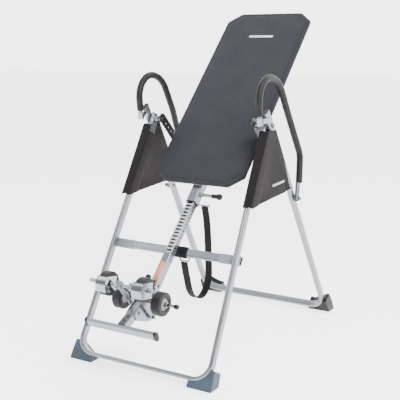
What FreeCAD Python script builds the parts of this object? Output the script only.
import FreeCAD, Part
import math
import os

# Inversion table: an A-frame of two bent tube frames carries a tilting backrest table.
# X runs across the width, Y from the foot end to the head end, Z up from the floor.
# The origin is on the floor, under the middle of the object.

# ---- driving dimensions, in millimetres and degrees ----

# A-frame
hinge_y = 18.0
hinge_height = 1034.0
floor_bar_height = 28.0
front_spread = 561.0
rear_spread = 605.0
front_half_width = 340.0
side_taper = 36.0
leg_thickness = 20.0
leg_depth = 40.0
leg_wall = 1.8
corner_radius = 75.0
leg_side_gap = 2.0
front_leg_overrun = 24.0
rear_leg_overrun = 75.0
hinge_bolt_radius = 6.0

# feet
foot_front = 13.0
foot_back = 46.0
foot_height = 60.0
foot_outer_flare = 18.0
foot_outer_top = 12.0
foot_reach = 118.0
foot_toe_height = 16.0
foot_fit = 0.2

# crossbar with its end sleeves, rubber stop and strap anchor
crossbar_drop = 623.0
crossbar_thickness = 20.0
crossbar_depth = 40.0
sleeve_wall = 2.0
sleeve_length = 105.0
stop_wall = 6.0
stop_length = 39.0
stop_gap = 0.1
anchor_x = 46.0
anchor_width = 26.0
anchor_wall = 2.5

# tilting table
table_angle = 45.6
pad_length = 1101.0
pad_width = 478.0
pad_below_pivot = 275.0
pad_thickness = 22.0
pad_corner_x = 66.0
pad_corner_y = 58.0
pad_edge_round = 8.0
board_thickness = 9.0
board_inset = 9.0
boom_size = 38.0
boom_wall = 2.0
boom_corner = 4.0
liner_wall = 2.7
liner_length = 70.0
liner_lip = 4.0
slide_gap = 0.3
beam_wall = 2.0
beam_below_pivot = 355.0
beam_above_pivot = 420.0
side_beam_size = 26.0
side_beam_wall = 1.8
pivot_arm_thickness = 5.0
pivot_arm_width = 44.0
pivot_arm_above = 12.0
pivot_arm_gap = 5.0
pivot_pin_radius = 8.0
pivot_running_gap = 0.05
bushing_wall = 3.0
housing_wall = 6.0
housing_length = 20.0
end_play = 1.5

# boom adjustment
hole_pitch = 18.35
hole_radius = 4.6
holes_below_pin = 16
holes_above_pin = 2
pin_below_pivot = 305.0
pin_radius = 4.4
pin_shaft_radius = 8.0
pin_housing_length = 62.0
pin_knob_length = 26.0
pin_ball_radius = 15.0
boom_top = 150.0
boom_bottom = 905.0

# ankle clamp and foot bar
rear_axle_u = 893.0
rear_axle_lift = 49.0
axle_radius = 7.0
roller_running_gap = 0.05
roller_radius = 52.0
roller_length = 44.0
front_roller_x = 91.0
rear_roller_x = 100.0
rear_axle_reach = 176.0
axle_cap_radius = 10.0
clamp_pivot_u = 926.0
clamp_pivot_drop = 33.0
clamp_bolt_radius = 5.0
front_axle_u = 905.0
front_axle_lift = 188.0
clamp_arm_x = 34.0
clamp_arm_thickness = 6.0
clamp_arm_width = 18.0
clamp_block_size = 28.0
clamp_block_length = 30.0
front_axle_left = 150.0
front_axle_right = 122.0
front_knob_length = 34.0
front_nut_length = 9.0
guard_wall = 2.0
guard_gap = 1.5
guard_height = 66.0
guard_back = 22.0
guard_turn = 35.0
bracket_thickness = 4.0
post_angle = 21.4
post_wall = 2.2
post_start_u = 915.0
post_start_lift = 41.0
post_length = 140.0
footrest_length = 340.0
footrest_thickness = 20.0
footrest_depth = 40.0
footrest_cap_length = 10.0
lever_u = 793.0
lever_stem_radius = 4.0
lever_height = 73.0
lever_ball_radius = 13.0
lever_bolt_radius = 4.0
lever_hub_radius = 8.0
lever_slot_length = 26.0

# handles
handle_tube_radius = 11.0
handle_wall = 1.6
grip_radius = 16.0
handle_inset = 23.0
handle_front_lift = 12.0
handle_rear_drop = 362.0
handle_end_gap = 2.5
# corners of the handle's path: outward of its top, back from the hinge and up from it
handle_corners = [(0, -86, handle_front_lift), (0, -110, 210), (0, 84, 210), (4, 194, 34), (21, 302, -166)]
handle_bends = [100, 150, 240, 60]
handle_bolt_radius = 4.0
bracket_reach = 20.0
bracket_height = 26.0

# soft goods
cover_wall = 2.0
cover_slack = 3.0
cover_top_drop = 22.0
cover_bottom_drop = 339.0
cover_rear_lift = 27.0
strap_width = 38.0
strap_thickness = 2.0
strap_x = 46.0
# the strap's route: back and down from the beam's loop, then back and down from the crossbar's ring
strap_from_loop = [(3, 0), (21, 53), (33, 150), (40, 268), (43, 362)]
strap_to_anchor = [(168, 202), (104, 203), (48, 160), (25, 88), (9, 40), (0, 0)]

clearance = 0.3

# ---- derived sizes ----

V = FreeCAD.Vector
X_AXIS = V(1, 0, 0)
front_drop = math.hypot(front_spread, hinge_height - floor_bar_height)
rear_drop = math.hypot(rear_spread, hinge_height - floor_bar_height)
front_lean = -math.degrees(math.atan2(front_spread, hinge_height - floor_bar_height))
rear_lean = math.degrees(math.atan2(rear_spread, hinge_height - floor_bar_height))
rear_half_width = front_half_width + leg_thickness + leg_side_gap
front_hinge_x = front_half_width - side_taper
rear_hinge_x = rear_half_width - side_taper
side_lean = math.degrees(math.atan2(side_taper, hinge_height - floor_bar_height))
beam_size = boom_size + 2 * (slide_gap + liner_wall + beam_wall)
handle_top_x = front_half_width - handle_inset
post_size = boom_size
cover_top_z = hinge_height - cover_top_drop
cover_bottom_z = hinge_height - cover_bottom_drop

# crossbar position: its end sleeves lie against the back faces of the front legs
crossbar_offset = leg_depth / 2 + crossbar_thickness / 2 + sleeve_wall

# the boom rests on the crossbar's stop, and that sets how far the pad hangs below the pivot
lean_to_table = math.radians(90 + front_lean - table_angle)
crossbar_normal = -crossbar_drop * math.sin(lean_to_table) - crossbar_offset * math.cos(lean_to_table)
crossbar_along = -crossbar_drop * math.cos(lean_to_table) + crossbar_offset * math.sin(lean_to_table)
oval_half_straight = (crossbar_depth - crossbar_thickness) / 2
crossbar_support = crossbar_thickness / 2 + oval_half_straight * math.sin(lean_to_table)
boom_normal = crossbar_normal + crossbar_support + stop_wall + stop_gap + boom_size / 2
pivot_arm_length = -boom_normal - beam_size / 2 - board_thickness - pad_thickness
pad_back = -pivot_arm_length - pad_thickness
board_back = pad_back - board_thickness


# ---- placing: each group is modelled about its own joint, then turned and moved there ----

def about_hinge(shape, angle):
    """Turn a shape modelled about the hinge axis by an angle about X, and put it at the hinge."""
    placed = shape.copy()
    placed.rotate(V(0, 0, 0), X_AXIS, angle)
    placed.translate(V(0, hinge_y, hinge_height))
    return placed


def on_front(shape):
    return about_hinge(shape, front_lean)


def on_rear(shape):
    return about_hinge(shape, rear_lean)


def on_table(shape):
    return about_hinge(shape, table_angle)


def table_point(along, normal):
    """World Y and Z of a point given along the table and normal to it."""
    a = math.radians(table_angle)
    return (hinge_y + along * math.cos(a) - normal * math.sin(a),
            hinge_height + along * math.sin(a) + normal * math.cos(a))


def mirrored(shape):
    return shape.mirror(V(0, 0, 0), X_AXIS)


# ---- plain shapes ----

def block(x0, x1, y0, y1, z0, z1):
    return Part.makeBox(x1 - x0, y1 - y0, z1 - z0, V(x0, y0, z0))


def rod_x(radius, x0, x1, y, z):
    return Part.makeCylinder(radius, x1 - x0, V(x0, y, z), X_AXIS)


def ball(radius, x, y, z):
    return Part.makeSphere(radius, V(x, y, z))


def oval_wire(thickness, depth, centre, thin_axis, wide_axis):
    """A flat oval: straight along wide_axis, round at both ends."""
    r = thickness / 2
    s = depth / 2 - r
    t = V(thin_axis)
    w = V(wide_axis)
    a = centre + t * r + w * s
    b = centre - t * r + w * s
    c = centre - t * r - w * s
    d = centre + t * r - w * s
    top = Part.Arc(a, centre + w * (s + r), b).toShape()
    low = Part.Arc(c, centre - w * (s + r), d).toShape()
    return Part.Wire([top, Part.makeLine(b, c), low, Part.makeLine(d, a)])


def oval_bar(thickness, depth, x0, x1, y, z, thin_axis, wide_axis):
    face = Part.Face(oval_wire(thickness, depth, V(x0, y, z), thin_axis, wide_axis))
    return face.extrude(V(x1 - x0, 0, 0))


def oval_tube(thickness, depth, wall, x0, x1, y, z, thin_axis, wide_axis):
    outer = oval_bar(thickness, depth, x0, x1, y, z, thin_axis, wide_axis)
    inner = oval_bar(thickness - 2 * wall, depth - 2 * wall, x0, x1, y, z, thin_axis, wide_axis)
    return outer.cut(inner)


def square_bar(size, corner, y0, y1, z):
    """A square bar along Y with rounded long edges, centred on x = 0."""
    bar = block(-size / 2, size / 2, y0, y1, z - size / 2, z + size / 2)
    long_edges = [e for e in bar.Edges if abs(e.Vertexes[0].Y - e.Vertexes[-1].Y) > 1]
    return bar.makeFillet(corner, long_edges)


def square_tube(size, corner, wall, y0, y1, z):
    inner_corner = max(corner - wall, 0.4)
    return square_bar(size, corner, y0, y1, z).cut(
        square_bar(size - 2 * wall, inner_corner, y0, y1, z))


def plate_x(points, x0, x1):
    """A flat plate normal to X from its outline in Y and Z."""
    corners = [V(x0, y, z) for y, z in points]
    wire = Part.makePolygon(corners + corners[:1])
    return Part.Face(wire).extrude(V(x1 - x0, 0, 0))


def strip_plate(start, end, width, x0, x1):
    """A flat bar with round ends between two points in Y and Z."""
    along = V(0, end[0] - start[0], end[1] - start[1])
    side = V(0, -along.z, along.y).normalize() * (width / 2)
    tip = V(along).normalize() * (width / 2)
    a = V(x0, *start)
    b = V(x0, *end)
    first = Part.Arc(a + side, a - tip, a - side).toShape()
    second = Part.Arc(b - side, b + tip, b + side).toShape()
    wire = Part.Wire([first, Part.makeLine(a - side, b - side), second, Part.makeLine(b + side, a + side)])
    return Part.Face(wire).extrude(V(x1 - x0, 0, 0))


def rounded_path(points, radii):
    """Straight runs joined by tangent arcs; radii belong to the inner points."""
    edges = []
    last = points[0]
    for i, radius in enumerate(radii, start=1):
        corner = points[i]
        back = (points[i - 1] - corner).normalize()
        ahead = (points[i + 1] - corner).normalize()
        half_angle = back.getAngle(ahead) / 2
        cut = radius / math.tan(half_angle)
        start = corner + back * cut
        end = corner + ahead * cut
        inward = (back + ahead).normalize()
        middle = corner + inward * (radius / math.sin(half_angle) - radius)
        edges.append(Part.makeLine(last, start))
        edges.append(Part.Arc(start, middle, end).toShape())
        last = end
    edges.append(Part.makeLine(last, points[-1]))
    return edges


def round_sweep(edges, radius):
    path = Part.Wire(edges)
    start = edges[0].Vertexes[0].Point
    direction = edges[0].Vertexes[-1].Point - start
    section = Part.Wire([Part.makeCircle(radius, start, direction)])
    return path.makePipeShell([section], True, False)


def ribbon(edges, half_thickness, x0, width):
    """A flat band that follows a path in the YZ plane."""
    path = Part.Wire(edges)
    start = edges[0].Vertexes[0].Point
    direction = (edges[0].Vertexes[-1].Point - start).normalize()
    side = V(0, -direction.z, direction.y) * half_thickness
    across = V(width, 0, 0)
    base = V(x0, start.y, start.z)
    corners = [base + side, base - side, base - side + across, base + side + across]
    section = Part.makePolygon(corners + corners[:1])
    return path.makePipeShell([section], True, False)


# ---- bent leg frames, modelled upright about the hinge, with the floor bar at z = -drop ----

def leg_path(half_width, drop, overrun):
    top_x = half_width - side_taper * (drop + overrun) / drop
    points = [V(-top_x, 0, overrun), V(-half_width, 0, -drop),
              V(half_width, 0, -drop), V(top_x, 0, overrun)]
    return rounded_path(points, [corner_radius, corner_radius])


def leg_sweep(half_width, drop, overrun, thickness, depth):
    edges = leg_path(half_width, drop, overrun)
    start = edges[0].Vertexes[0].Point
    direction = (edges[0].Vertexes[-1].Point - start).normalize()
    thin_axis = V(direction.z, 0, -direction.x)
    section = oval_wire(thickness, depth, start, thin_axis, V(0, 1, 0))
    return Part.Wire(edges).makePipeShell([section], True, False)


def leg_frame(half_width, drop, overrun):
    outer = leg_sweep(half_width, drop, overrun, leg_thickness, leg_depth)
    inner = leg_sweep(half_width, drop, overrun, leg_thickness - 2 * leg_wall, leg_depth - 2 * leg_wall)
    return outer.cut(inner)


def leg_x(half_width, drop, z):
    """The leg's centre line at a height, in the upright frame."""
    return half_width - side_taper * (drop + z) / drop


def leg_plug(half_width, drop, overrun):
    """A plastic plug in the open top of the right leg, with a low cap."""
    lean = math.degrees(math.atan2(side_taper, drop))
    plug_depth = 12.0
    cap = 3.0
    x = leg_x(half_width, drop, overrun)
    stem = Part.Face(oval_wire(leg_thickness - 2 * leg_wall, leg_depth - 2 * leg_wall,
                               V(0, 0, -plug_depth), X_AXIS, V(0, 1, 0))).extrude(V(0, 0, plug_depth))
    head_face = Part.Face(oval_wire(leg_thickness, leg_depth, V(0, 0, 0), X_AXIS, V(0, 1, 0)))
    head = head_face.extrude(V(0, 0, cap))
    plug = stem.fuse(head)
    plug.rotate(V(0, 0, 0), V(0, 1, 0), -lean)
    plug.translate(V(x, 0, overrun))
    return plug


def foot(half_width, drop):
    """A plastic shoe under the right corner of a leg frame, in the upright frame."""
    outer_x = half_width + leg_thickness / 2
    bar_low = -drop - leg_thickness / 2
    sole = -drop - 2 * leg_depth
    outline = [
        V(outer_x + foot_outer_flare, 0, sole),
        V(outer_x + foot_outer_flare, 0, bar_low),
        V(outer_x + foot_outer_top, 0, bar_low + foot_height),
        V(outer_x - 1, 0, bar_low + foot_height),
        V(outer_x - corner_radius, 0, bar_low + foot_toe_height),
        V(outer_x + foot_outer_flare - foot_reach, 0, bar_low + foot_toe_height),
        V(outer_x + foot_outer_flare - foot_reach, 0, sole),
    ]
    face = Part.Face(Part.makePolygon(outline + outline[:1]))
    body = face.extrude(V(0, foot_front + foot_back, 0))
    body.translate(V(0, -foot_front, 0))
    channel = leg_sweep(half_width, drop, 0, leg_thickness + 2 * foot_fit, leg_depth + 2 * foot_fit)
    return body.cut(channel)


def stood_on_floor(shape):
    """Cut away what would be under the floor."""
    size = 4 * hinge_height
    return shape.cut(block(-size, size, -size, size, -size, 0))


parts = {}

front_outer = on_front(leg_sweep(front_half_width, front_drop, front_leg_overrun, leg_thickness, leg_depth))
hinge_hole = rod_x(hinge_bolt_radius + pivot_running_gap, 0, 2 * rear_half_width, 0, 0)
both_hinge_holes = hinge_hole.fuse(mirrored(hinge_hole))
parts["front_leg_frame"] = on_front(
    leg_frame(front_half_width, front_drop, front_leg_overrun).cut(both_hinge_holes))
front_foot = stood_on_floor(on_front(foot(front_half_width, front_drop)))
parts["front_foot_right"] = front_foot
parts["front_foot_left"] = mirrored(front_foot)
front_plug = on_front(leg_plug(front_half_width, front_drop, front_leg_overrun))
parts["front_leg_plugs"] = Part.makeCompound([front_plug, mirrored(front_plug)])

rear_outer = on_rear(leg_sweep(rear_half_width, rear_drop, rear_leg_overrun, leg_thickness, leg_depth))
rear_foot = stood_on_floor(on_rear(foot(rear_half_width, rear_drop)))
parts["rear_foot_right"] = rear_foot
parts["rear_foot_left"] = mirrored(rear_foot)
rear_plug = on_rear(leg_plug(rear_half_width, rear_drop, rear_leg_overrun))
parts["rear_leg_plugs"] = Part.makeCompound([rear_plug, mirrored(rear_plug)])

# hinge bolts: a shank through both legs, a flat head inside and a domed nut outside
hinge_inner = front_hinge_x - leg_thickness / 2
hinge_outer = rear_hinge_x + leg_thickness / 2
head_length = 4.0
nut_radius = 11.0
shank = rod_x(hinge_bolt_radius, hinge_inner - head_length / 2, hinge_outer + head_length, 0, 0)
nut = rod_x(nut_radius, hinge_outer + 1.0, hinge_outer + 1.0 + head_length, 0, 0)
dome = ball(nut_radius - 2, hinge_outer + head_length, 0, 0).common(
    block(hinge_outer + head_length, hinge_outer + 40, -20, 20, -20, 20))
hinge_bolt = about_hinge(shank.fuse([nut, dome]), 0)
parts["hinge_bolts"] = Part.makeCompound([hinge_bolt, mirrored(hinge_bolt)])

# ---- pivot housings: a plate welded inside each front leg, with a boss for the table's pin ----

housing_radius = pivot_pin_radius + pivot_running_gap + bushing_wall + housing_wall
pin_outer_x = hinge_inner - head_length - end_play
boss_x1 = pin_outer_x + end_play
boss_x0 = boss_x1 - housing_length
bushing_outer = pivot_pin_radius + pivot_running_gap + bushing_wall
boss = rod_x(housing_radius, boss_x0, boss_x1, 0, 0)
plate_low = -70.0
plate_high = front_leg_overrun - 4.0
cheek = block(boss_x1, hinge_inner + leg_thickness / 2, -leg_depth / 2, leg_depth / 2,
              plate_low, plate_high)
bolt_room = rod_x(hinge_bolt_radius + clearance, boss_x1, hinge_outer, 0, 0)
housing = about_hinge(boss.cut(rod_x(bushing_outer, boss_x0, boss_x1, 0, 0)), 0).fuse(on_front(cheek))
housing = housing.cut(front_outer).cut(about_hinge(bolt_room, 0))
housing = max(housing.Solids, key=lambda s: s.Volume)
parts["pivot_housing_right"] = housing
parts["pivot_housing_left"] = mirrored(housing)
bushing = about_hinge(rod_x(bushing_outer, boss_x0, boss_x1, 0, 0).cut(
    rod_x(pivot_pin_radius + pivot_running_gap, boss_x0, boss_x1, 0, 0)), 0)
parts["pivot_bushings"] = Part.makeCompound([bushing, mirrored(bushing)])

# ---- crossbar ----

thin = V(0, 1, 0)
wide = V(0, 0, 1)
crossbar_half = leg_x(front_half_width, front_drop, -crossbar_drop) + leg_thickness / 2 - clearance


def along_crossbar(wall_out, x0, x1):
    """A flat oval around the crossbar's line, larger than the bar by wall_out all round."""
    return oval_bar(crossbar_thickness + 2 * wall_out, crossbar_depth + 2 * wall_out,
                    x0, x1, crossbar_offset, -crossbar_drop, thin, wide)


crossbar_wall = 1.8
parts["crossbar"] = on_front(along_crossbar(0, -crossbar_half, crossbar_half).cut(
    along_crossbar(-crossbar_wall, -crossbar_half, crossbar_half)))
sleeve = on_front(along_crossbar(sleeve_wall, crossbar_half - sleeve_length, crossbar_half).cut(
    along_crossbar(0, crossbar_half - sleeve_length, crossbar_half)))
parts["crossbar_sleeves"] = Part.makeCompound([sleeve, mirrored(sleeve)])
parts["crossbar_stop"] = on_front(along_crossbar(stop_wall, -stop_length / 2, stop_length / 2).cut(
    along_crossbar(0, -stop_length / 2, stop_length / 2)))

# bolts that hold the crossbar to the legs: through the sleeve and bar from behind
bolt_head_radius = 7.0
bolt_x = crossbar_half - leg_thickness / 2 - 1.0
bar_back = crossbar_offset + crossbar_thickness / 2 + sleeve_wall
bolt_gap = 11.0
crossbar_bolts = []
for side in (-1, 1):
    for lift in (-bolt_gap, bolt_gap):
        foot_of_head = V(side * bolt_x, bar_back, -crossbar_drop + lift)
        head = Part.makeCylinder(bolt_head_radius, 5.0, foot_of_head, V(0, 1, 0))
        crossbar_bolts.append(on_front(head))
parts["crossbar_bolts"] = Part.makeCompound(crossbar_bolts)

# strap anchor: a steel band round the crossbar with a slotted ear hanging behind it
band = along_crossbar(anchor_wall, anchor_x - anchor_width / 2, anchor_x + anchor_width / 2).cut(
    along_crossbar(0, anchor_x - anchor_width / 2, anchor_x + anchor_width / 2))
ear_half = strap_width / 2 + 4.0
ear_wire_radius = 3.0
ring_y = crossbar_offset + crossbar_thickness / 2 + anchor_wall + ear_wire_radius - 1.0
ring_z = -crossbar_drop - oval_half_straight
ring_drop = 24.0
ring_low = ring_z - ring_drop
ring_points = [V(anchor_x - ear_half, ring_y, ring_z), V(anchor_x + ear_half, ring_y, ring_z),
               V(anchor_x + ear_half, ring_y, ring_low), V(anchor_x - ear_half, ring_y, ring_low)]
ring_bars = []
for first, second in zip(ring_points, ring_points[1:] + ring_points[:1]):
    ring_bars.append(Part.makeCylinder(ear_wire_radius, (second - first).Length, first, second - first))
    ring_bars.append(Part.makeSphere(ear_wire_radius, first))
parts["strap_anchor"] = on_front(band.fuse(ring_bars))

# ---- rear frame with the handles ----

handle_rear_z = hinge_height - handle_rear_drop
handle_rear_y = hinge_y + handle_rear_drop * math.tan(math.radians(rear_lean))
rear_leg_outer = leg_x(rear_half_width, rear_drop,
                       -handle_rear_drop / math.cos(math.radians(rear_lean))) + leg_thickness / 2
handle_rear_x = rear_leg_outer + handle_tube_radius + handle_end_gap
handle_points = [V(handle_top_x + out, hinge_y + back, hinge_height + up)
                 for out, back, up in handle_corners]
handle_points.append(V(handle_rear_x, handle_rear_y, handle_rear_z - 12))
handle_edges = rounded_path(handle_points, handle_bends)
handle_outer = round_sweep(handle_edges, handle_tube_radius)
handle_inner = round_sweep(handle_edges, handle_tube_radius - handle_wall)
handle_bolt_line = rod_x(handle_bolt_radius, rear_leg_outer - leg_thickness - 6,
                         handle_rear_x + handle_tube_radius + 6, handle_rear_y, handle_rear_z)
handle_bolt_hole = rod_x(handle_bolt_radius + clearance, 0, 2 * rear_half_width,
                         handle_rear_y, handle_rear_z)
handle_tube = handle_outer.cut(handle_inner).cut(handle_bolt_hole)
parts["handle_tube_right"] = handle_tube
parts["handle_tube_left"] = mirrored(handle_tube)
handle_knob = rod_x(9.0, handle_rear_x + handle_tube_radius + 0.5, handle_rear_x + handle_tube_radius + 10,
                    handle_rear_y, handle_rear_z)
handle_nut = rod_x(8.0, rear_leg_outer - leg_thickness - 6, rear_leg_outer - leg_thickness - 1.5,
                   handle_rear_y, handle_rear_z)
handle_bolt = handle_bolt_line.fuse([handle_knob, handle_nut])
parts["handle_bolts"] = Part.makeCompound([handle_bolt, mirrored(handle_bolt)])

both_bolt_holes = handle_bolt_hole.fuse(mirrored(handle_bolt_hole))
parts["rear_leg_frame"] = on_rear(
    leg_frame(rear_half_width, rear_drop, rear_leg_overrun).cut(both_hinge_holes)).cut(both_bolt_holes)

# foam grips cover the handle between two cuts, above its sockets
handle_front_z = hinge_height + handle_front_lift
grip_low_front = handle_front_z + bracket_height + 4
grip_low_rear = handle_rear_z + 66.0
grip = round_sweep(handle_edges, grip_radius).cut(handle_outer)
side_reach = 900.0  # past the machine's side, front and back
grip = grip.cut(block(0, side_reach, -side_reach, hinge_y, 0, grip_low_front))
grip = grip.cut(block(0, side_reach, hinge_y, side_reach, 0, grip_low_rear))
parts["handle_grip_right"] = grip
parts["handle_grip_left"] = mirrored(grip)

# handle brackets: a socket for the handle's front end on an arm from the rear leg's top
socket_wall = 3.5
socket_radius = handle_tube_radius + socket_wall
lift_direction = (handle_points[1] - handle_points[0]).normalize()
socket_foot = handle_points[0] - lift_direction * 6
socket = Part.makeCylinder(socket_radius, bracket_height + 6, socket_foot, lift_direction)
arm_x0 = rear_hinge_x - leg_thickness / 2 + clearance
arm = block(arm_x0, arm_x0 + bracket_reach - 2 * clearance, handle_points[0].y, hinge_y,
            handle_front_z + 2, handle_front_z + bracket_height - 2)
handle_bracket = socket.fuse(arm).cut(handle_outer).cut(rear_outer)
handle_bracket = handle_bracket.cut(Part.makeCylinder(
    handle_tube_radius, bracket_height, handle_points[0], lift_direction))
handle_bracket = max(handle_bracket.Solids, key=lambda s: s.Volume)
parts["handle_bracket_right"] = handle_bracket
parts["handle_bracket_left"] = mirrored(handle_bracket)

# ---- side covers: a fabric sleeve round both legs of one side, open at top and bottom ----

front_slope = math.tan(math.radians(-front_lean))
rear_slope = math.tan(math.radians(rear_lean))
front_face = leg_depth / 2 / math.cos(math.radians(front_lean)) + cover_slack
rear_face = leg_depth / 2 / math.cos(math.radians(rear_lean)) + cover_slack


def cover_outline(grow):
    """Corners in Y and Z of the cover's inside face, moved out by grow."""
    def front_y(z):
        return hinge_y - (hinge_height - z) * front_slope - front_face - grow

    def rear_y(z):
        return hinge_y + (hinge_height - z) * rear_slope + rear_face + grow

    rear_bottom = cover_bottom_z + cover_rear_lift
    return [(front_y(cover_top_z), cover_top_z), (rear_y(cover_top_z), cover_top_z),
            (rear_y(rear_bottom), rear_bottom), (front_y(cover_bottom_z), cover_bottom_z)]


cover_in_x = front_hinge_x - leg_thickness / 2 - cover_slack
cover_out_x = rear_hinge_x + leg_thickness / 2 + clearance + 1.0
cover = plate_x(cover_outline(cover_wall), cover_in_x - cover_wall, cover_out_x + cover_wall)
cover_hollow = plate_x(cover_outline(0), cover_in_x, cover_out_x)
hollow_shift = [V(0, 0, 4), V(0, 0, 0), V(0, 0, -4)]
for shift in hollow_shift:
    cut_piece = cover_hollow.copy()
    cut_piece.translate(shift)
    cover = cover.cut(cut_piece)
boss_room = block(0, hinge_inner + 1.5, hinge_y - 60, hinge_y + 60, hinge_height - 90, hinge_height + 40)
cover.rotate(V((cover_in_x + cover_out_x) / 2, 0, hinge_height), V(0, 1, 0), -side_lean)
cover = cover.cut(boss_room)
cover = max(cover.Solids, key=lambda s: s.Volume)
parts["side_cover_right"] = cover
parts["side_cover_left"] = mirrored(cover)

# ---- tether strap: flat webbing from the beam's mouth, down in a loop and up to the crossbar ----

loop_along = -beam_below_pivot + 14.0
loop_y, loop_z = table_point(loop_along, boom_normal - beam_size / 2 - 6.0)
a = math.radians(front_lean)
anchor_ring_y = hinge_y + ring_y * math.cos(a) - (ring_z - ring_drop) * math.sin(a)
anchor_ring_z = hinge_height + ring_y * math.sin(a) + (ring_z - ring_drop) * math.cos(a)
strap_gap = ear_wire_radius + strap_thickness / 2 + 0.5
route = [(loop_y + back, loop_z - strap_gap - down) for back, down in strap_from_loop]
route += [(anchor_ring_y + back, anchor_ring_z - strap_gap - down) for back, down in strap_to_anchor]
strap_points = [V(strap_x, y, z) for y, z in route]


def widest_bends(points):
    """The largest tangent arc that the runs beside each inner point leave room for."""
    radii = []
    for before, here, after in zip(points, points[1:], points[2:]):
        turn = (here - before).getAngle(after - here)
        shorter = min((here - before).Length, (after - here).Length)
        radii.append(0.45 * shorter / math.tan(turn / 2))
    return radii


strap_radii = widest_bends(strap_points)
strap_edges = rounded_path(strap_points, strap_radii)
strap_length = sum(e.Length for e in strap_edges)
parts["tether_strap"] = ribbon(strap_edges, strap_thickness / 2, strap_x - strap_width / 2, strap_width)

# ---- table: pad, board, beam and pivot arms, modelled flat about the pivot ----

def pad_outline(inset, z):
    w = pad_width / 2 - inset
    low = -pad_below_pivot + inset
    high = pad_length - pad_below_pivot - inset
    cx = pad_corner_x
    cy = pad_corner_y
    points = [(-w + cx, low), (w - cx, low), (w, low + cy), (w, high - cy),
              (w - cx, high), (-w + cx, high), (-w, high - cy), (-w, low + cy)]
    corners = [V(x, y, z) for x, y in points]
    return Part.Face(Part.makePolygon(corners + corners[:1]))


pad = pad_outline(0, pad_back).extrude(V(0, 0, pad_thickness))
top_edges = [e for e in pad.Edges if all(abs(v.Z - pad_back - pad_thickness) < 0.01 for v in e.Vertexes)]
pad = pad.makeFillet(pad_edge_round, top_edges)
parts["pad_cushion"] = on_table(pad)
parts["pad_board"] = on_table(pad_outline(board_inset, board_back).extrude(V(0, 0, board_thickness)))

pin_hole = rod_x(hole_radius, 0, beam_size, -pin_below_pivot, boom_normal)
beam_corner = boom_corner + liner_wall
mouth = -beam_below_pivot
beam = square_tube(beam_size, beam_corner, beam_wall, mouth, beam_above_pivot, boom_normal)
liner_outer = boom_size + 2 * (slide_gap + liner_wall)
liner = square_bar(liner_outer, boom_corner + 1, mouth, mouth + liner_length, boom_normal)
lip = square_bar(beam_size, beam_corner, mouth - liner_lip, mouth, boom_normal)
liner_hole = square_bar(boom_size + 2 * slide_gap, boom_corner,
                        mouth - liner_lip, mouth + liner_length, boom_normal)
parts["main_beam"] = on_table(beam.cut(pin_hole))
parts["beam_liner"] = on_table(liner.fuse(lip).cut(liner_hole).cut(pin_hole))

# side beams carry the pivot arms; each is a square tube from the beam to the arm
arm_x = pad_width / 2 + pivot_arm_gap
side_z1 = board_back
side_z0 = side_z1 - side_beam_size
side_outer = block(beam_size / 2, arm_x, -side_beam_size / 2, side_beam_size / 2, side_z0, side_z1)
side_bore = side_beam_size / 2 - side_beam_wall
side_inner = block(beam_size / 2, arm_x, -side_bore, side_bore,
                   side_z0 + side_beam_wall, side_z1 - side_beam_wall)
side_beam = on_table(side_outer.cut(side_inner))
parts["side_beams"] = Part.makeCompound([side_beam, mirrored(side_beam)])

arm_low = side_z0 + pivot_arm_width / 2 - 6
pivot_arm = strip_plate((0, arm_low), (0, pivot_arm_above), pivot_arm_width,
                        arm_x, arm_x + pivot_arm_thickness)
arm_hole_pitch = 30.0
arm_hole_radius = 5.0
for index in range(1, 4):
    spare_hole = rod_x(arm_hole_radius, arm_x, arm_x + pivot_arm_thickness, 0, -index * arm_hole_pitch)
    pivot_arm = pivot_arm.cut(spare_hole)
pivot_arm = pivot_arm.cut(rod_x(pivot_pin_radius, arm_x, arm_x + pivot_arm_thickness, 0, 0))
parts["pivot_arm_right"] = on_table(pivot_arm)
parts["pivot_arm_left"] = mirrored(on_table(pivot_arm))
collar_radius = 13.0
pin_head = rod_x(collar_radius, arm_x - 4.0, arm_x, 0, 0)
collar = rod_x(collar_radius, arm_x + pivot_arm_thickness, boss_x0 - end_play, 0, 0)
pivot_pin = on_table(rod_x(pivot_pin_radius, arm_x - 4.0, pin_outer_x, 0, 0).fuse([pin_head, collar]))
parts["pivot_pins"] = Part.makeCompound([pivot_pin, mirrored(pivot_pin)])

# wire loop under the beam's mouth, for the strap
loop_n = boom_normal - beam_size / 2 - 6.0
loop_x0 = beam_size / 2 - 10
loop_x1 = strap_x + strap_width / 2 + 5.0
loop_bar = rod_x(ear_wire_radius, loop_x0, loop_x1, loop_along, loop_n)
loop_foot = block(loop_x0, loop_x0 + 8, loop_along - 4, loop_along + 4, loop_n, boom_normal - beam_size / 2)
loop_end = ball(ear_wire_radius + 2.5, loop_x1, loop_along, loop_n)
parts["strap_loop"] = on_table(loop_bar.fuse([loop_foot, loop_end]))

# spring housing of the height pin, on the right side of the beam
housing_x0 = beam_size / 2
housing_x1 = housing_x0 + pin_housing_length
pin_bore = pin_radius + roller_running_gap
pin_y = -pin_below_pivot
pin_housing = rod_x(pin_shaft_radius, housing_x0, housing_x1, pin_y, boom_normal).fuse(
    rod_x(pin_shaft_radius + 4, housing_x0, housing_x0 + 8, pin_y, boom_normal))
pin_housing = pin_housing.cut(rod_x(pin_bore, housing_x0, housing_x1, pin_y, boom_normal))
parts["pin_housing"] = on_table(pin_housing)
knob_x0 = housing_x1 + 1.0
pin_tip = boom_size / 2 - 10.0
parts["height_pin"] = on_table(rod_x(pin_radius, pin_tip, knob_x0 + 4, pin_y, boom_normal))
knob_x1 = knob_x0 + pin_knob_length
knob = rod_x(pin_shaft_radius + 2, knob_x0, knob_x1, pin_y, boom_normal)
knob_ball = ball(pin_ball_radius, knob_x1 + pin_ball_radius - 4, pin_y, boom_normal)
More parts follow.
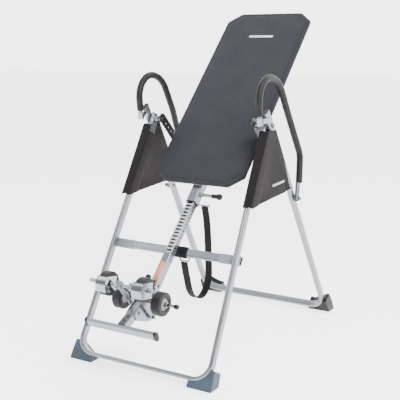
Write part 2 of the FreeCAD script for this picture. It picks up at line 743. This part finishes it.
parts["height_pin_knob"] = on_table(knob.fuse(knob_ball).cut(
    rod_x(pin_radius, knob_x0 - 1, knob_x0 + 4, pin_y, boom_normal)))

# ---- boom with its height holes, lever slot and end plug ----

boom = square_tube(boom_size, boom_corner, boom_wall, -boom_bottom, -boom_top, boom_normal)
for index in range(-holes_above_pin, holes_below_pin + 1):
    hole_y = pin_y - index * hole_pitch
    boom = boom.cut(rod_x(hole_radius, 0, boom_size, hole_y, boom_normal))
lever_y = -lever_u
lever_slot = block(-lever_stem_radius - 1, lever_stem_radius + 1,
                   lever_y - 6, lever_y + lever_slot_length - 6,
                   boom_normal, boom_normal + boom_size)
boom = boom.cut(lever_slot)
boom = boom.cut(rod_x(lever_bolt_radius + clearance, -boom_size, boom_size, lever_y, boom_normal))
parts["boom_tube"] = on_table(boom)
plug_depth = 20.0
plug_flange = 3.0
plug = square_bar(boom_size - 2 * boom_wall, boom_corner - boom_wall,
                  -boom_bottom, -boom_bottom + plug_depth, boom_normal)
flange = square_bar(boom_size, boom_corner, -boom_bottom - plug_flange, -boom_bottom, boom_normal)
parts["boom_plug"] = on_table(plug.fuse(flange))

# release lever: a hub on its bolt inside the boom, a stem and a ball
hub_half = boom_size / 2 - boom_wall - 1.0
hub = rod_x(lever_hub_radius, -hub_half, hub_half, lever_y, boom_normal)
stem = Part.makeCylinder(lever_stem_radius, lever_height, V(0, lever_y, boom_normal), V(0, 0, 1))
lever = hub.fuse([stem, ball(lever_ball_radius, 0, lever_y, boom_normal + lever_height)])
lever = lever.cut(rod_x(lever_bolt_radius + pivot_running_gap, -boom_size, boom_size, lever_y, boom_normal))
parts["release_lever"] = on_table(lever)

# foot bracket: two side plates that join the boom, the foot post and the clamp's pivot
rear_axle_n = boom_normal + rear_axle_lift
clamp_n = boom_normal - clamp_pivot_drop
front_axle_n = boom_normal + front_axle_lift
post_a = math.radians(post_angle)
post_y = -post_start_u
post_z = boom_normal + post_start_lift
half_boom = boom_size / 2
plate_outline = [
    (-rear_axle_u + 38, boom_normal - half_boom + 4),
    (-rear_axle_u + 38, boom_normal + half_boom - 2),
    (-rear_axle_u + 14, rear_axle_n + 14),
    (-rear_axle_u - 14, rear_axle_n + 20),
    (post_y - 62, post_z + 40),
    (post_y - 74, post_z + 8),
    (-clamp_pivot_u - 34, boom_normal - 14),
    (-clamp_pivot_u - 12, clamp_n - 14),
    (-clamp_pivot_u + 14, clamp_n - 14),
]
plate_x0 = half_boom
plate_x1 = half_boom + bracket_thickness
side_plate = plate_x(plate_outline, plate_x0, plate_x1)
side_plate = side_plate.cut(rod_x(axle_radius, plate_x0, plate_x1, -rear_axle_u, rear_axle_n))
clamp_bore = clamp_bolt_radius + pivot_running_gap
side_plate = side_plate.cut(rod_x(clamp_bore, plate_x0, plate_x1, -clamp_pivot_u, clamp_n))
parts["foot_bracket_right"] = on_table(side_plate)
parts["foot_bracket_left"] = mirrored(on_table(side_plate))


def along_post(shape):
    """Put a shape modelled about the post's start, running to -Y, on the boom's end."""
    placed = shape.copy()
    placed.rotate(V(0, 0, 0), X_AXIS, -post_angle)
    placed.translate(V(0, post_y, post_z))
    return placed


parts["foot_post"] = on_table(along_post(square_tube(post_size - 2 * clearance, boom_corner, post_wall,
                                                     -post_length, 0, 0)))
footrest_y = -post_length - footrest_thickness / 2
footrest_half = footrest_length / 2
footrest_tube = oval_tube(footrest_thickness, footrest_depth, leg_wall,
                          -footrest_half, footrest_half, footrest_y, 0, thin, wide)
parts["footrest_bar"] = on_table(along_post(footrest_tube))
cap_out = oval_bar(footrest_thickness + 3, footrest_depth + 3, footrest_half,
                   footrest_half + footrest_cap_length, footrest_y, 0, thin, wide)
cap_in = oval_bar(footrest_thickness - 2 * leg_wall, footrest_depth - 2 * leg_wall,
                  footrest_half - 16, footrest_half, footrest_y, 0, thin, wide)
footrest_cap = on_table(along_post(cap_out.fuse(cap_in)))
parts["footrest_caps"] = Part.makeCompound([footrest_cap, mirrored(footrest_cap)])

# bolts: two in the post's top face, one through the boom for the lever, two through the plates
post_top = post_size / 2 - clearance
bolt_low = 88.0
bolt_step = 28.0
boom_bolts = []
for index in range(2):
    shank_foot = V(0, -bolt_low - index * bolt_step, post_top)
    boom_bolts.append(on_table(along_post(Part.makeCylinder(7.0, 5.0, shank_foot, V(0, 0, 1)))))
lever_bolt = rod_x(lever_bolt_radius, -half_boom - 5, half_boom + 5, lever_y, boom_normal)
lever_head = rod_x(6.5, half_boom, half_boom + 5, lever_y, boom_normal)
lever_nut = rod_x(6.5, -half_boom - 5, -half_boom, lever_y, boom_normal)
boom_bolts.append(on_table(lever_bolt.fuse([lever_head, lever_nut])))
for spot in ((-rear_axle_u + 24, boom_normal), (post_y - 40, post_z + 14)):
    for side in (-1, 1):
        x0 = min(side * plate_x1, side * (plate_x1 + 4.5))
        head = rod_x(7.0, x0, x0 + 4.5, spot[0], spot[1])
        boom_bolts.append(on_table(head))
parts["boom_bolts"] = Part.makeCompound(boom_bolts)

rear_axle = rod_x(axle_radius, -rear_axle_reach, rear_axle_reach, -rear_axle_u, rear_axle_n)
collar_out = rear_roller_x - roller_length / 2 - 1.0
for side in (-1, 1):
    for x in (side * (collar_out - 4), side * (rear_roller_x + roller_length / 2 + 5)):
        rear_axle = rear_axle.fuse(rod_x(axle_radius + 4, x - 4, x + 4, -rear_axle_u, rear_axle_n))
parts["rear_axle"] = on_table(rear_axle)
rear_cap = rod_x(axle_cap_radius, rear_axle_reach - 6, rear_axle_reach + 10, -rear_axle_u, rear_axle_n)
rear_cap = on_table(rear_cap.cut(
    rod_x(axle_radius, rear_axle_reach - 6, rear_axle_reach, -rear_axle_u, rear_axle_n)))
parts["rear_axle_caps"] = Part.makeCompound([rear_cap, mirrored(rear_cap)])

# ---- ankle clamp: two arms on a pivot bolt behind the boom carry the front axle ----

arm_x0 = clamp_arm_x - clamp_arm_thickness / 2
arm_x1 = clamp_arm_x + clamp_arm_thickness / 2
arm_bar = strip_plate((-clamp_pivot_u, clamp_n), (-front_axle_u - 5, front_axle_n - clamp_block_size / 2),
                      clamp_arm_width, arm_x0, arm_x1)
block_half = clamp_block_size / 2
arm_block = block(clamp_arm_x - clamp_block_length / 2, clamp_arm_x + clamp_block_length / 2,
                  -front_axle_u - block_half, -front_axle_u + block_half,
                  front_axle_n - block_half, front_axle_n + block_half)
clamp_arm = arm_bar.fuse(arm_block).cut(rod_x(axle_radius, 0, side_reach, -front_axle_u, front_axle_n))
clamp_arm = clamp_arm.cut(
    rod_x(clamp_bolt_radius + pivot_running_gap, 0, side_reach, -clamp_pivot_u, clamp_n))
parts["clamp_arm_right"] = on_table(clamp_arm)
parts["clamp_arm_left"] = mirrored(on_table(clamp_arm))
clamp_bolt = rod_x(clamp_bolt_radius, -arm_x1 - 8, arm_x1 + 8, -clamp_pivot_u, clamp_n)
for side in (-1, 1):
    x0 = min(side * (arm_x1 + 1), side * (arm_x1 + 7))
    clamp_bolt = clamp_bolt.fuse(rod_x(8.0, x0, x0 + 6, -clamp_pivot_u, clamp_n))
parts["clamp_bolt"] = on_table(clamp_bolt)

axle = rod_x(axle_radius, -front_axle_left, front_axle_right, -front_axle_u, front_axle_n)
left_knob = rod_x(axle_cap_radius, -front_axle_left - front_knob_length, -front_axle_left,
                  -front_axle_u, front_axle_n)
right_nut = rod_x(axle_cap_radius, front_axle_right, front_axle_right + front_nut_length,
                  -front_axle_u, front_axle_n)
parts["front_axle"] = on_table(axle.fuse([left_knob, right_nut]))


def roller(centre_x, along, normal):
    x0 = centre_x - roller_length / 2
    body = rod_x(roller_radius, x0, x0 + roller_length, along, normal)
    rims = [e for e in body.Edges if abs(e.Length - 2 * math.pi * roller_radius) < 1]
    body = body.makeFillet(6.0, rims)
    recess_radius = 27.0
    recess_depth = 5.0
    for start in (x0, x0 + roller_length - recess_depth):
        body = body.cut(rod_x(recess_radius, start, start + recess_depth, along, normal))
    return body.cut(rod_x(axle_radius + roller_running_gap, x0, x0 + roller_length, along, normal))


for name, sign in (("left", -1), ("right", 1)):
    parts["front_roller_" + name] = on_table(roller(sign * front_roller_x, -front_axle_u, front_axle_n))
    parts["rear_roller_" + name] = on_table(roller(sign * rear_roller_x, -rear_axle_u, rear_axle_n))

# roller guards: a bent plate round the front of each front roller, held by the axle at both ends
guard_in = roller_radius + guard_gap
guard_half_x = roller_length / 2 + guard_gap
guard_shell = rod_x(guard_in + guard_wall, front_roller_x - guard_half_x - guard_wall,
                    front_roller_x + guard_half_x + guard_wall, -front_axle_u, front_axle_n)
guard_shell = guard_shell.cut(rod_x(guard_in, front_roller_x - guard_half_x, front_roller_x + guard_half_x,
                                    -front_axle_u, front_axle_n))
guard_keep = block(0, side_reach, -front_axle_u - guard_height / 2, -front_axle_u + guard_height / 2,
                   front_axle_n - guard_back, front_axle_n + guard_in + 2 * guard_wall)
guard = guard_shell.common(guard_keep)
guard = guard.cut(rod_x(axle_radius, 0, side_reach, -front_axle_u, front_axle_n))
guard.rotate(V(0, -front_axle_u, front_axle_n), X_AXIS, guard_turn)
parts["roller_guard_right"] = on_table(guard)
parts["roller_guard_left"] = mirrored(on_table(guard))

# ---- write one STEP file for each node ----

os.makedirs("parts", exist_ok=True)
for name, shape in sorted(parts.items()):
    shape.exportStep(os.path.join("parts", name + ".step"))
box = Part.makeCompound(list(parts.values())).BoundBox
print("nodes", len(parts), "strap length", round(strap_length, 1))
print("box", [round(v, 1) for v in (box.XMin, box.XMax, box.YMin, box.YMax, box.ZMin, box.ZMax)])
